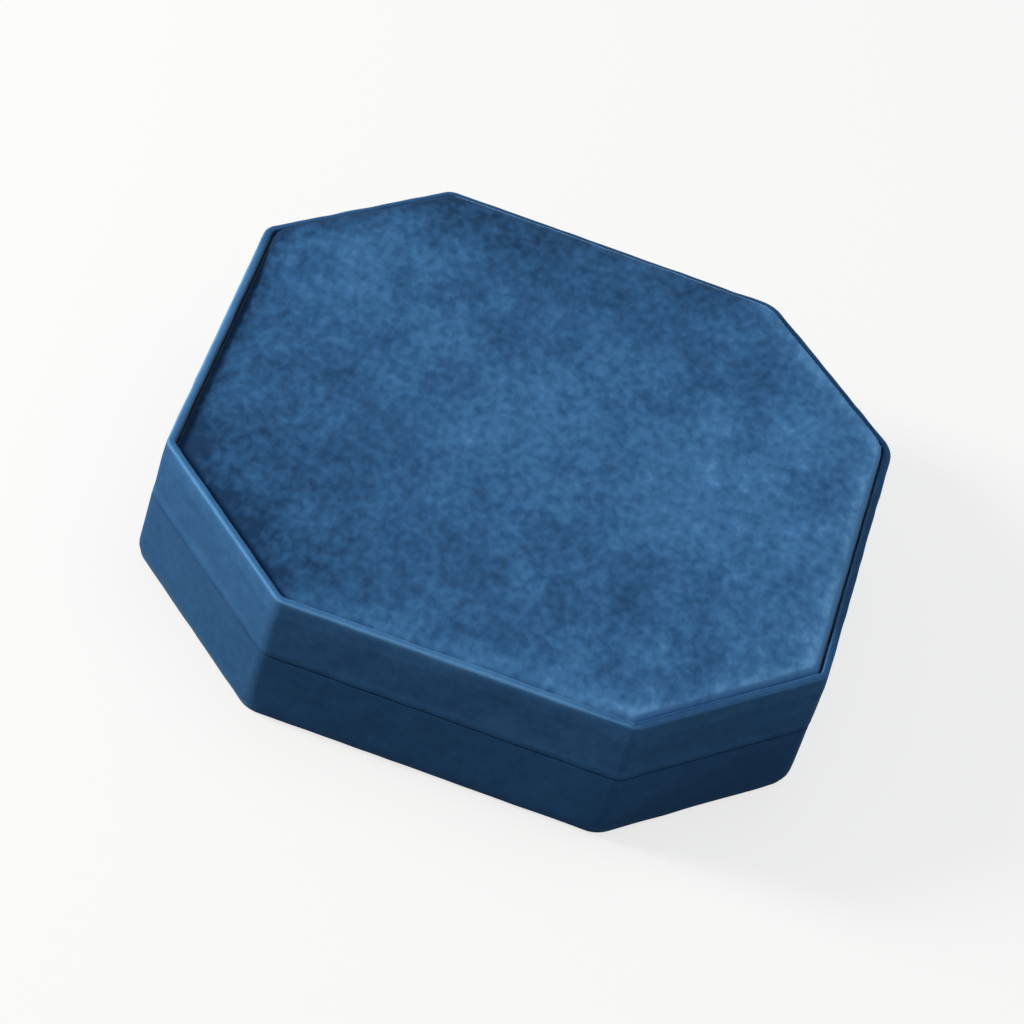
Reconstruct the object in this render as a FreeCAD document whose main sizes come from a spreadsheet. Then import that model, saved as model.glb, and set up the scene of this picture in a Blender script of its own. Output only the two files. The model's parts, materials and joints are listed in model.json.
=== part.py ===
import FreeCAD, Part
import itertools
import math
import os
import Sketcher

# A flat octagonal ring box: two velvet-wrapped plastic shells, joined by a barrel hinge along the back.
# Millimetres. +X runs along the front side, +Y goes from front to back, +Z is up. The origin is the
# centre of the underside.

SIZES = [
    # outline, the same for base and lid
    ("box_half", 67.5),           # centre to each of the four long sides
    ("corner_cut", 31.7),         # how far each 45 degree corner side cuts into a long side
    ("outer_radius", 5.5),        # rounding of the eight upright edges, outside
    ("inner_radius", 0.5),        # the same inside the walls
    ("foot_radius", 2.2),         # rounding of the base's lower edge
    ("total_height", 30.5),
    ("parting_height", 15.9),     # middle of the seam between base and lid
    ("seam_gap", 0.4),
    # sheet materials
    ("pile", 0.5),                # velvet, backing and pile together
    ("glue", 0.05),               # adhesive film between two layers
    ("wall", 1.4),                # moulded plastic
    ("card", 0.8),                # greyboard
    # the velvet wrap
    ("turn_in", 6.0),             # how far it runs down inside a rim
    ("bottom_margin", 8.0),       # how far it runs in under the base
    ("cover_gap", 0.3),           # margin to bottom cover
    # the collar that stands up inside the base and centres the lid
    ("collar_gap", 0.25),
    ("collar_rise", 2.4),         # above the base's rim
    ("liner_gap", 0.4),           # collar's top to the lid's wall liner
    # the padded panel sunk in the lid's top
    ("recess_depth", 2.9),        # rim's top to the lid's deck
    ("rim_wall", 0.5),            # moulded plastic of the thin rim round the panel
    ("panel_gap", 0.4),           # rim to the panel's edge
    # the padded ceiling inside the lid
    ("lining_pad", 1.4),
    ("lining_gap", 0.15),
    # the ring tray
    ("tray_gap", 0.25),
    ("tray_board", 0.6),
    ("tray_top", 12.75),          # height of its velvet top
    ("roll_count", 7),
    ("roll_width", 11.6),
    ("roll_slot", 0.8),           # between two rolls
    ("roll_end_gap", 0.3),
    ("roll_top", 13.0),
    ("window_half", 44.0),        # half the window's length along X
    # hinge
    ("barrel_radius", 1.3),
    ("pin_radius", 0.6),
    ("bore_radius", 0.65),
    ("leaf_half", 18.0),          # half the hinge's length
    ("leaf_sheet", 0.5),
    ("leaf_leg", 8.0),            # how far a leaf runs along its wall
    ("leaf_relief", 0.2),         # leaf's edge to the other leaf's knuckles
    ("knuckle_count", 5),
    ("knuckle_gap", 0.15),
    ("hinge_clearance", 0.15),    # barrel to the recess round it
    ("head_radius", 1.1),         # the pin's peened ends
    ("head_length", 0.4),
    ("notch_half", 18.8),         # half the length of the recess in the rims
    ("rivet_radius", 0.8),
    ("rivet_hole", 0.85),
    ("rivet_head", 1.5),
    ("rivet_head_height", 0.35),
    ("rivet_spread", 12.0),       # centre to each rivet
    ("rivet_drop", 5.0),          # seam to each rivet
]


def cell(alias):
    return "Sizes." + alias


SIDE_COUNT = 8
SIDE_TURN = 2 * math.pi / SIDE_COUNT
TOUCHING = 1e-4                   # points closer than this count as one

# Distances inward from the box's outer face.
SKIN_IN = cell("pile")
SHELL_OUT = f"({SKIN_IN} + {cell('glue')})"
SHELL_IN = f"({SHELL_OUT} + {cell('wall')})"
TURN_OUT = f"({SHELL_IN} + {cell('glue')})"
RIM_IN = f"({TURN_OUT} + {cell('pile')})"
COLLAR_OUT = f"({RIM_IN} + {cell('collar_gap')})"
COLLAR_IN = f"({COLLAR_OUT} + {cell('card')})"
TRAY_OUT = f"({COLLAR_IN} + {cell('tray_gap')})"
LINER_OUT = f"({RIM_IN} + {cell('glue')})"
LINER_IN = f"({LINER_OUT} + {cell('card')})"
LINING_OUT = f"({LINER_IN} + {cell('lining_gap')})"
UPPER_SHELL_IN = f"({SHELL_OUT} + {cell('rim_wall')})"
UPPER_TURN_OUT = f"({UPPER_SHELL_IN} + {cell('glue')})"
UPPER_RIM_IN = f"({UPPER_TURN_OUT} + {cell('pile')})"
PANEL_OUT = f"({UPPER_RIM_IN} + {cell('panel_gap')})"
PANEL_SKIN_IN = f"({PANEL_OUT} + {cell('pile')})"
PANEL_CORE = f"({PANEL_SKIN_IN} + {cell('glue')})"
LEAF_OUT = f"({RIM_IN} + {cell('glue')})"
LEAF_IN = f"({LEAF_OUT} + {cell('leaf_sheet')})"

# Heights.
BASE_TOP = f"({cell('parting_height')} - {cell('seam_gap')} / 2)"
LID_LOW = f"({cell('parting_height')} + {cell('seam_gap')} / 2)"
LID_TOP = cell("total_height")
FLOOR_LOW = f"({cell('pile')} + {cell('glue')})"
FLOOR_TOP = f"({FLOOR_LOW} + {cell('wall')})"
INSIDE_LOW = f"({FLOOR_TOP} + {cell('glue')})"
COLLAR_TOP = f"({BASE_TOP} + {cell('collar_rise')})"
TRAY_BOARD_TOP = f"({INSIDE_LOW} + {cell('tray_board')})"
TRAY_FOAM_LOW = f"({TRAY_BOARD_TOP} + {cell('glue')})"
TRAY_FOAM_TOP = f"({cell('tray_top')} - {cell('pile')} - {cell('glue')})"
DECK_TOP = f"({LID_TOP} - {cell('recess_depth')})"
DECK_LOW = f"({DECK_TOP} - {cell('wall')})"
PANEL_LOW = f"({DECK_TOP} + {cell('glue')})"
PANEL_BOARD_TOP = f"({PANEL_LOW} + {cell('card')})"
PANEL_FOAM_LOW = f"({PANEL_BOARD_TOP} + {cell('glue')})"
PANEL_TOP = f"({LID_TOP} - {cell('glue')})"
PANEL_FOAM_TOP = f"({PANEL_TOP} - {cell('pile')} - {cell('glue')})"
CEILING = f"({DECK_LOW} - {cell('glue')})"
LINING_BOARD_LOW = f"({CEILING} - {cell('card')})"
LINING_PAD_TOP = f"({LINING_BOARD_LOW} - {cell('glue')})"
LINING_PAD_LOW = f"({LINING_PAD_TOP} - {cell('lining_pad')})"

# The tray's window holds the rolls, with a slot between neighbours and at both ends.
ROLL_PITCH = f"({cell('roll_width')} + {cell('roll_slot')})"
WINDOW_HALF_Y = f"(({cell('roll_count')} * {ROLL_PITCH} + {cell('roll_slot')}) / 2)"

HALF = cell("box_half")
CORNER_REACH = f"((2 * {HALF} - {cell('corner_cut')}) / sqrt(2))"

doc = FreeCAD.newDocument("ring_box")
sheet = doc.addObject("Spreadsheet::Sheet", "Sizes")
for row, (alias, value) in enumerate(SIZES, start=1):
    sheet.set(f"A{row}", alias)
    sheet.set(f"B{row}", str(value))
    sheet.setAlias(f"B{row}", alias)
doc.recompute()

pieces = []


def number(expression):
    """The value of an expression, in millimetres, for a sketch's first draft."""
    return float(sheet.evalExpression(expression))


def whole(alias):
    return int(number(cell(alias)))


# ---------------------------------------------------------------- sketches

def new_body(label):
    body = doc.addObject("PartDesign::Body", label)
    body.Label = label
    pieces.append(body)
    return body


def new_sketch(body, name, role, offset):
    """A sketch on one of the body's own origin planes, lifted by `offset` along the plane's normal."""
    sketch = body.newObject("Sketcher::SketchObject", name)
    plane = [feature for feature in body.Origin.OriginFeatures if feature.Role == role][0]
    sketch.AttachmentSupport = (plane, [""])
    sketch.MapMode = "FlatFace"
    sketch.setExpression("AttachmentOffset.Base.z", offset)
    return sketch


def bind(sketch, constraint, name, expression):
    index = sketch.addConstraint(constraint)
    sketch.renameConstraint(index, name)
    sketch.setExpression(f"Constraints.{name}", expression)


def add_octagon(sketch, name, inset, radius):
    """A closed octagon with rounded corners, every side `inset` inside the box's outer face."""
    reaches = [f"{HALF} - {inset}", f"{CORNER_REACH} - {inset}"]
    draft = [number(reach) for reach in reaches]
    round_off = number(radius)

    def corner_centre(side):
        """Where two neighbouring sides meet, once both are moved in by the rounding."""
        here = draft[side % 2] - round_off
        there = draft[(side + 1) % 2] - round_off
        angle = side * SIDE_TURN
        x = (here * math.sin(angle + SIDE_TURN) - there * math.sin(angle)) / math.sin(SIDE_TURN)
        y = (there * math.cos(angle) - here * math.cos(angle + SIDE_TURN)) / math.sin(SIDE_TURN)
        return FreeCAD.Vector(x, y, 0)

    lines = []
    arcs = []
    for side in range(SIDE_COUNT):
        outward = FreeCAD.Vector(math.cos(side * SIDE_TURN), math.sin(side * SIDE_TURN), 0) * round_off
        start = corner_centre(side - 1) + outward
        end = corner_centre(side) + outward
        lines.append(sketch.addGeometry(Part.LineSegment(start, end)))
        circle = Part.Circle(corner_centre(side), FreeCAD.Vector(0, 0, 1), round_off)
        arcs.append(sketch.addGeometry(Part.ArcOfCircle(circle, side * SIDE_TURN, (side + 1) * SIDE_TURN)))

    for side in range(SIDE_COUNT):
        following = lines[(side + 1) % SIDE_COUNT]
        sketch.addConstraint(Sketcher.Constraint("Tangent", lines[side], 2, arcs[side], 1))
        sketch.addConstraint(Sketcher.Constraint("Tangent", arcs[side], 2, following, 1))
    for side, line in enumerate(lines):
        if side % 4 == 0:
            sketch.addConstraint(Sketcher.Constraint("Vertical", line))
        elif side % 4 == 2:
            sketch.addConstraint(Sketcher.Constraint("Horizontal", line))
        else:
            sketch.addConstraint(Sketcher.Constraint("Angle", line, side * SIDE_TURN + math.pi / 2))
    for side, line in enumerate(lines):
        reach = Sketcher.Constraint("Distance", -1, 1, line, draft[side % 2])
        bind(sketch, reach, f"{name}_side_{side}", reaches[side % 2])
    for arc in arcs[1:]:
        sketch.addConstraint(Sketcher.Constraint("Equal", arcs[0], arc))
    bind(sketch, Sketcher.Constraint("Radius", arcs[0], round_off), f"{name}_radius", radius)


def add_rectangle(sketch, name, half_x, low_y, high_y):
    """A rectangle centred on the sketch's vertical axis."""
    across = number(half_x)
    low = number(low_y)
    high = number(high_y)
    corners = [(-across, low), (across, low), (across, high), (-across, high)]
    points = [FreeCAD.Vector(x, y, 0) for x, y in corners]
    lines = []
    for index, point in enumerate(points):
        segment = Part.LineSegment(point, points[(index + 1) % len(points)])
        lines.append(sketch.addGeometry(segment))
    bottom, right, top, left = lines
    for line, following in zip(lines, [right, top, left, bottom]):
        sketch.addConstraint(Sketcher.Constraint("Coincident", line, 2, following, 1))
    sketch.addConstraint(Sketcher.Constraint("Vertical", right))
    sketch.addConstraint(Sketcher.Constraint("Vertical", left))
    sketch.addConstraint(Sketcher.Constraint("Horizontal", top))
    sketch.addConstraint(Sketcher.Constraint("Symmetric", bottom, 1, bottom, 2, -2))
    width = Sketcher.Constraint("DistanceX", bottom, 1, bottom, 2, 2 * across)
    bind(sketch, width, f"{name}_width", f"2 * {half_x}")
    bind(sketch, Sketcher.Constraint("DistanceY", -1, 1, bottom, 1, low), f"{name}_low", low_y)
    bind(sketch, Sketcher.Constraint("DistanceY", -1, 1, top, 1, high), f"{name}_high", high_y)


def add_circles(sketch, name, radius, half_x, height):
    """Two equal circles, one each side of the sketch's vertical axis."""
    circles = []
    for sign in (-1, 1):
        centre = FreeCAD.Vector(sign * number(half_x), number(height), 0)
        circle = Part.Circle(centre, FreeCAD.Vector(0, 0, 1), number(radius))
        circles.append(sketch.addGeometry(circle))
    left, right = circles
    sketch.addConstraint(Sketcher.Constraint("Equal", left, right))
    sketch.addConstraint(Sketcher.Constraint("Symmetric", left, 3, right, 3, -2))
    bind(sketch, Sketcher.Constraint("Radius", left, number(radius)), f"{name}_radius", radius)
    spread = Sketcher.Constraint("DistanceX", left, 3, right, 3, 2 * number(half_x))
    bind(sketch, spread, f"{name}_spread", f"2 * {half_x}")
    rise = Sketcher.Constraint("DistanceY", -1, 1, left, 3, number(height))
    bind(sketch, rise, f"{name}_height", height)


# ---------------------------------------------------------------- features

def pad(body, sketch, name, length):
    feature = body.newObject("PartDesign::Pad", name)
    feature.Profile = sketch
    feature.setExpression("Length", length)
    sketch.Visibility = False
    return feature


def pocket(body, sketch, name, length):
    """Cuts against the sketch's normal: down from XY, towards the back from XZ."""
    before = body.Shape.Volume
    feature = body.newObject("PartDesign::Pocket", name)
    feature.Profile = sketch
    feature.setExpression("Length", length)
    sketch.Visibility = False
    doc.recompute()
    if body.Shape.Volume >= before:
        raise RuntimeError(f"{name} removes nothing")
    return feature


def parallel(inset):
    """An inset, with the corner rounding that keeps the face parallel to the outer one."""
    return (inset, f"({cell('outer_radius')} - {inset})")


INNER = cell("inner_radius")
OUTSIDE = ("0 mm / 1 mm", cell("outer_radius"))


def octagon_plate(body, name, low, high, outer):
    sketch = new_sketch(body, f"{name}_outline", "XY_Plane", low)
    add_octagon(sketch, "edge", *outer)
    return pad(body, sketch, name, f"{high} - {low}")


def octagon_ring(body, name, low, high, outer, inner):
    sketch = new_sketch(body, f"{name}_outline", "XY_Plane", low)
    add_octagon(sketch, "outer", *outer)
    add_octagon(sketch, "inner", *inner)
    return pad(body, sketch, name, f"{high} - {low}")


def round_edges(body, name, inset, height, radius):
    """Rounds the ring of edges that runs round the octagon at one inset and one height."""
    doc.recompute()
    solid = body.Tip
    reaches = [number(f"{HALF} - {inset}"), number(f"{CORNER_REACH} - {inset}")]
    level = number(height)

    def beyond(point):
        """How far a point lies outside the octagon."""
        turns = [side * SIDE_TURN for side in range(SIDE_COUNT)]
        outs = [point.x * math.cos(turn) + point.y * math.sin(turn) for turn in turns]
        return max(out - reach for out, reach in zip(outs, itertools.cycle(reaches)))

    def on_ring(point):
        return max(abs(point.z - level), abs(beyond(point))) < TOUCHING

    names = []
    for index, edge in enumerate(solid.Shape.Edges, start=1):
        if all(on_ring(vertex.Point) for vertex in edge.Vertexes):
            names.append(f"Edge{index}")
    feature = body.newObject("PartDesign::Fillet", name)
    feature.Base = (solid, names)
    feature.setExpression("Radius", radius)
    solid.Visibility = False


def hinge_pocket(body, name, top, low, depth):
    """A recess in the middle of the back wall, `depth` deep from the outer face."""
    sketch = new_sketch(body, f"{name}_outline", "XY_Plane", top)
    beyond = f"({HALF} + {cell('wall')})"
    add_rectangle(sketch, "recess", cell("notch_half"), f"({HALF} - {depth})", beyond)
    return pocket(body, sketch, name, f"{top} - {low}")


def rivet_pocket(body, height):
    """Two holes through whatever of the back wall lies inside the outer velvet."""
    sketch = new_sketch(body, f"{body.Name}_rivet_outline", "XZ_Plane", "0 mm / 1 mm")
    add_circles(sketch, "rivet", cell("rivet_hole"), cell("rivet_spread"), height)
    return pocket(body, sketch, f"{body.Name}_rivet_holes", f"{HALF} - {SKIN_IN}")


BARREL_ROOM = f"({cell('barrel_radius')} + {cell('hinge_clearance')})"
LEAF_GAP = f"({cell('seam_gap')} / 2 + {cell('glue')})"
LEAF_ROOM = f"({LEAF_GAP} + {cell('leaf_sheet')} + {cell('glue')})"
RIM_DEPTH = f"({RIM_IN} + {cell('glue')})"
PARTING = cell("parting_height")
BASE_RIVET = f"({PARTING} - {cell('rivet_drop')})"
LID_RIVET = f"({PARTING} + {cell('rivet_drop')})"


def recess_base_rim(body):
    hinge_pocket(body, f"{body.Name}_leaf_slot", BASE_TOP, f"({PARTING} - {LEAF_ROOM})", RIM_DEPTH)
    hinge_pocket(body, f"{body.Name}_barrel_recess", BASE_TOP, f"({PARTING} - {BARREL_ROOM})", BARREL_ROOM)


def recess_lid_rim(body):
    hinge_pocket(body, f"{body.Name}_leaf_slot", f"({PARTING} + {LEAF_ROOM})", LID_LOW, RIM_DEPTH)
    hinge_pocket(body, f"{body.Name}_barrel_recess", f"({PARTING} + {BARREL_ROOM})", LID_LOW, BARREL_ROOM)


# ---------------------------------------------------------------- base

def make_base_shell():
    body = new_body("base_shell")
    outer = parallel(SHELL_OUT)
    octagon_plate(body, "base_floor", FLOOR_LOW, FLOOR_TOP, outer)
    octagon_ring(body, "base_wall", FLOOR_TOP, f"({BASE_TOP} - {SHELL_OUT})", outer, (SHELL_IN, INNER))
    round_edges(body, "base_foot", SHELL_OUT, FLOOR_LOW, f"{cell('foot_radius')} - {SHELL_OUT}")
    doc.recompute()
    recess_base_rim(body)
    rivet_pocket(body, BASE_RIVET)


def make_base_velvet():
    """One skin: under the edge, up the outside, over the rim and down inside."""
    body = new_body("base_velvet")
    rim_low = f"({BASE_TOP} - {SKIN_IN})"
    margin = (cell("bottom_margin"), INNER)
    octagon_ring(body, "base_underside_margin", "0 mm / 1 mm", SKIN_IN, OUTSIDE, margin)
    skin = parallel(SKIN_IN)
    octagon_ring(body, "base_side_skin", SKIN_IN, rim_low, OUTSIDE, skin)
    round_edges(body, "base_skin_foot_inside", SKIN_IN, SKIN_IN, f"{cell('foot_radius')} - {SKIN_IN}")
    round_edges(body, "base_skin_foot", OUTSIDE[0], OUTSIDE[0], cell("foot_radius"))
    octagon_ring(body, "base_rim_skin", rim_low, BASE_TOP, OUTSIDE, (RIM_IN, INNER))
    inside_low = f"({BASE_TOP} - {cell('turn_in')})"
    octagon_ring(body, "base_turn_in", inside_low, rim_low, (TURN_OUT, INNER), (RIM_IN, INNER))
    doc.recompute()
    recess_base_rim(body)
    rivet_pocket(body, BASE_RIVET)


def make_base_bottom_cover():
    body = new_body("base_bottom_cover")
    inset = f"({cell('bottom_margin')} + {cell('cover_gap')})"
    octagon_plate(body, "bottom_cover_sheet", "0 mm / 1 mm", SKIN_IN, (inset, INNER))


def make_base_collar():
    """A covered card band that stands above the rim, open at the back to clear the hinge."""
    body = new_body("base_collar")
    octagon_ring(body, "collar_band", INSIDE_LOW, COLLAR_TOP, (COLLAR_OUT, INNER), (COLLAR_IN, INNER))
    doc.recompute()
    low = f"({PARTING} - {LEAF_ROOM} - {cell('leaf_leg')})"
    hinge_pocket(body, "collar_hinge_gap", COLLAR_TOP, low, f"({COLLAR_IN} + {cell('glue')})")


def make_ring_tray_board():
    body = new_body("ring_tray_board")
    octagon_plate(body, "tray_floor", INSIDE_LOW, TRAY_BOARD_TOP, (TRAY_OUT, INNER))


def tray_ring(body, name, low, high, margin):
    """An octagonal plate with the rolls' window, which is `margin` wider each way."""
    sketch = new_sketch(body, f"{name}_outline", "XY_Plane", low)
    add_octagon(sketch, "edge", TRAY_OUT, INNER)
    half_y = f"({WINDOW_HALF_Y} + {margin})"
    half_x = f"({cell('window_half')} + {margin})"
    add_rectangle(sketch, "window", half_x, f"-{half_y}", half_y)
    return pad(body, sketch, name, f"{high} - {low}")


def make_ring_tray_foam():
    body = new_body("ring_tray_foam")
    margin = f"({cell('pile')} + {cell('glue')})"
    tray_ring(body, "tray_foam_block", TRAY_FOAM_LOW, TRAY_FOAM_TOP, margin)


def make_ring_tray_velvet():
    """The tray's top skin, turned down the four sides of its window."""
    body = new_body("ring_tray_velvet")
    skin_low = f"({cell('tray_top')} - {cell('pile')})"
    tray_ring(body, "tray_top_skin", skin_low, cell("tray_top"), "0 mm / 1 mm")
    sketch = new_sketch(body, "tray_window_outline", "XY_Plane", TRAY_FOAM_LOW)
    outer_x = f"({cell('window_half')} + {cell('pile')})"
    outer_y = f"({WINDOW_HALF_Y} + {cell('pile')})"
    add_rectangle(sketch, "outer", outer_x, f"-{outer_y}", outer_y)
    add_rectangle(sketch, "inner", cell("window_half"), f"-{WINDOW_HALF_Y}", WINDOW_HALF_Y)
    pad(body, sketch, "tray_window_skin", f"{skin_low} - {TRAY_FOAM_LOW}")


def add_roll_profile(sketch):
    """An upright block with a half-round top."""
    half = f"({cell('roll_width')} / 2)"
    shoulder = f"({cell('roll_top')} - {half})"
    across = number(half)
    low = number(TRAY_FOAM_LOW)
    high = number(shoulder)
    points = [FreeCAD.Vector(x, z, 0) for x, z in
              ((-across, high), (-across, low), (across, low), (across, high))]
    left, bottom, right = [sketch.addGeometry(Part.LineSegment(start, end))
                           for start, end in zip(points[:-1], points[1:])]
    circle = Part.Circle(FreeCAD.Vector(0, high, 0), FreeCAD.Vector(0, 0, 1), across)
    crown = sketch.addGeometry(Part.ArcOfCircle(circle, 0, math.pi))
    sketch.addConstraint(Sketcher.Constraint("Coincident", left, 2, bottom, 1))
    sketch.addConstraint(Sketcher.Constraint("Coincident", bottom, 2, right, 1))
    sketch.addConstraint(Sketcher.Constraint("Tangent", right, 2, crown, 1))
    sketch.addConstraint(Sketcher.Constraint("Tangent", crown, 2, left, 1))
    sketch.addConstraint(Sketcher.Constraint("Vertical", left))
    sketch.addConstraint(Sketcher.Constraint("Symmetric", bottom, 1, bottom, 2, -2))
    bind(sketch, Sketcher.Constraint("Radius", crown, across), "crown", half)
    bind(sketch, Sketcher.Constraint("DistanceY", -1, 1, bottom, 1, low), "low", TRAY_FOAM_LOW)
    bind(sketch, Sketcher.Constraint("DistanceY", -1, 1, crown, 3, high), "shoulder", shoulder)


def make_ring_rolls():
    """Velvet-covered foam rolls along X; a ring's band goes down between two of them."""
    count = whole("roll_count")
    for index in range(count):
        body = new_body(f"ring_roll_{index + 1}")
        sketch = new_sketch(body, f"{body.Name}_profile", "YZ_Plane", "0 mm / 1 mm")
        add_roll_profile(sketch)
        length = f"2 * ({cell('window_half')} - {cell('roll_end_gap')})"
        pad(body, sketch, f"{body.Name}_block", length).SideType = "Symmetric"
        body.setExpression("Placement.Base.y", f"({index} - ({cell('roll_count')} - 1) / 2) * {ROLL_PITCH}")


# ---------------------------------------------------------------- lid

def make_lid_shell():
    """A wall with a deck across it: the recess above takes the panel, the hollow below takes the rings."""
    body = new_body("lid_shell")
    outer = parallel(SHELL_OUT)
    inner = (SHELL_IN, INNER)
    octagon_ring(body, "lid_wall", f"({LID_LOW} + {SHELL_OUT})", DECK_LOW, outer, inner)
    octagon_plate(body, "lid_deck", DECK_LOW, DECK_TOP, outer)
    rim_top = f"({LID_TOP} - {SHELL_OUT})"
    octagon_ring(body, "lid_rim", DECK_TOP, rim_top, outer, parallel(UPPER_SHELL_IN))
    doc.recompute()
    recess_lid_rim(body)
    rivet_pocket(body, LID_RIVET)


def make_lid_velvet():
    """One skin over the whole wall, turned in under the lower rim and over the upper one."""
    body = new_body("lid_velvet")
    lower_rim_top = f"({LID_LOW} + {SKIN_IN})"
    upper_rim_low = f"({LID_TOP} - {SKIN_IN})"
    turned = ((TURN_OUT, INNER), (RIM_IN, INNER))
    skin = parallel(SKIN_IN)
    octagon_ring(body, "lid_lower_rim_skin", LID_LOW, lower_rim_top, OUTSIDE, (RIM_IN, INNER))
    octagon_ring(body, "lid_side_skin", lower_rim_top, upper_rim_low, OUTSIDE, skin)
    upper_turned = (parallel(UPPER_TURN_OUT), parallel(UPPER_RIM_IN))
    octagon_ring(body, "lid_upper_rim_skin", upper_rim_low, LID_TOP, OUTSIDE, upper_turned[1])
    octagon_ring(body, "lid_upper_turn_in", PANEL_LOW, upper_rim_low, *upper_turned)
    inside_top = f"({LID_LOW} + {cell('turn_in')})"
    octagon_ring(body, "lid_lower_turn_in", lower_rim_top, inside_top, *turned)
    doc.recompute()
    recess_lid_rim(body)
    rivet_pocket(body, LID_RIVET)


def make_lid_panel():
    """The padded panel: a board, a foam sheet, and velvet over both."""
    core = parallel(PANEL_CORE)
    board = new_body("lid_panel_board")
    octagon_plate(board, "panel_board_sheet", PANEL_LOW, PANEL_BOARD_TOP, core)
    foam = new_body("lid_panel_foam")
    octagon_plate(foam, "panel_foam_sheet", PANEL_FOAM_LOW, PANEL_FOAM_TOP, core)
    velvet = new_body("lid_panel_velvet")
    skin_low = f"({PANEL_TOP} - {cell('pile')})"
    outer = parallel(PANEL_OUT)
    octagon_ring(velvet, "panel_edge_skin", PANEL_LOW, skin_low, outer, parallel(PANEL_SKIN_IN))
    octagon_plate(velvet, "panel_top_skin", skin_low, PANEL_TOP, outer)


def make_lid_lining():
    """Inside the lid: a card strip round the wall, and a padded board on the ceiling."""
    strip = new_body("lid_wall_liner")
    low = f"({COLLAR_TOP} + {cell('liner_gap')})"
    octagon_ring(strip, "wall_liner_band", low, CEILING, (LINER_OUT, INNER), (LINER_IN, INNER))
    doc.recompute()
    top = f"({PARTING} + {LEAF_ROOM} + {cell('leaf_leg')})"
    hinge_pocket(strip, "wall_liner_hinge_gap", top, low, f"({LINER_IN} + {cell('glue')})")
    board = new_body("lid_lining_board")
    octagon_plate(board, "lining_board_sheet", LINING_BOARD_LOW, CEILING, (LINING_OUT, INNER))
    cushion = new_body("lid_lining_pad")
    octagon_plate(cushion, "lining_pad_sheet", LINING_PAD_LOW, LINING_PAD_TOP, (LINING_OUT, INNER))


# ---------------------------------------------------------------- hinge

PIN_Y = HALF
KNUCKLE_PITCH = f"(2 * {cell('leaf_half')} / {cell('knuckle_count')})"


def place(feature, x, y, z):
    for axis, expression in zip("xyz", (x, y, z)):
        feature.setExpression(f"Placement.Base.{axis}", expression)


def box(name, lows, sizes):
    feature = doc.addObject("Part::Box", name)
    for side, expression in zip(("Length", "Width", "Height"), sizes):
        feature.setExpression(side, expression)
    place(feature, *lows)
    return feature


def rod(name, radius, length, start, direction):
    """A round bar that runs from `start` along a direction."""
    feature = doc.addObject("Part::Cylinder", name)
    upright = FreeCAD.Vector(0, 0, 1)
    feature.Placement.Rotation = FreeCAD.Rotation(upright, FreeCAD.Vector(*direction))
    feature.setExpression("Radius", radius)
    feature.setExpression("Height", length)
    place(feature, *start)
    return feature


def fuse(name, shapes):
    feature = doc.addObject("Part::MultiFuse", name)
    feature.Shapes = shapes
    feature.Refine = True
    return feature


def cut(name, base, tool):
    feature = doc.addObject("Part::Cut", name)
    feature.Base = base
    feature.Tool = tool
    return feature


def rivet_rods(name, radius, start_inset, length, height):
    """A pair of bars along Y, one at each rivet, from `start_inset` towards the outside."""
    rods = []
    for side, sign in (("left", "-"), ("right", "")):
        start = (f"{sign}{cell('rivet_spread')}", f"{HALF} - {start_inset}", height)
        rods.append(rod(f"{name}_{side}", radius, length, start, (0, 1, 0)))
    return rods


def make_leaf(label, plate_low, leg_low, rivet_height, own_knuckles):
    """A sheet leaf: knuckles on the barrel, a strip across the rim, a leg along the wall inside."""
    sheet_size = cell("leaf_sheet")
    full_length = f"2 * {cell('leaf_half')}"
    left = f"-{cell('leaf_half')}"
    reach = f"({cell('barrel_radius')} + {cell('leaf_relief')})"
    inner_y = f"({HALF} - {LEAF_IN})"
    parts = [
        box(f"{label}_strip", (left, inner_y, plate_low), (full_length, f"{LEAF_IN} - {reach}", sheet_size)),
        box(f"{label}_leg", (left, inner_y, leg_low), (full_length, sheet_size, cell("leaf_leg"))),
    ]
    knuckle_length = f"{KNUCKLE_PITCH} - {cell('knuckle_gap')}"
    for index in own_knuckles:
        x = f"({left} + {index} * {KNUCKLE_PITCH} + {cell('knuckle_gap')} / 2)"
        tab_lows = (x, f"{PIN_Y} - {reach} - {sheet_size}", plate_low)
        tab_sizes = (knuckle_length, f"{reach} + {sheet_size}", sheet_size)
        parts.append(box(f"{label}_tab_{index}", tab_lows, tab_sizes))
        start = (x, PIN_Y, PARTING)
        parts.append(rod(f"{label}_knuckle_{index}", cell("barrel_radius"), knuckle_length, start, (1, 0, 0)))
    blank = fuse(f"{label}_blank", parts)
    bore = rod(f"{label}_bore", cell("bore_radius"), full_length, (left, PIN_Y, PARTING), (1, 0, 0))
    holes = rivet_rods(f"{label}_hole", cell("rivet_hole"), LEAF_IN, cell("wall"), rivet_height)
    leaf = cut(label, blank, fuse(f"{label}_openings", [bore] + holes))
    leaf.Label = label
    pieces.append(leaf)


def make_hinge_pin():
    """A plain pin with a peened head at each end."""
    half = f"({cell('leaf_half')} + {cell('glue')})"
    shank = rod("pin_shank", cell("pin_radius"), f"2 * {half}", (f"-{half}", PIN_Y, PARTING), (1, 0, 0))
    left_x = f"-{half} - {cell('head_length')}"
    left = rod("pin_left_head", cell("head_radius"), cell("head_length"), (left_x, PIN_Y, PARTING), (1, 0, 0))
    right = rod("pin_right_head", cell("head_radius"), cell("head_length"), (half, PIN_Y, PARTING), (1, 0, 0))
    pin = fuse("hinge_pin", [shank, left, right])
    pin.Label = "hinge_pin"
    pieces.append(pin)


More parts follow.
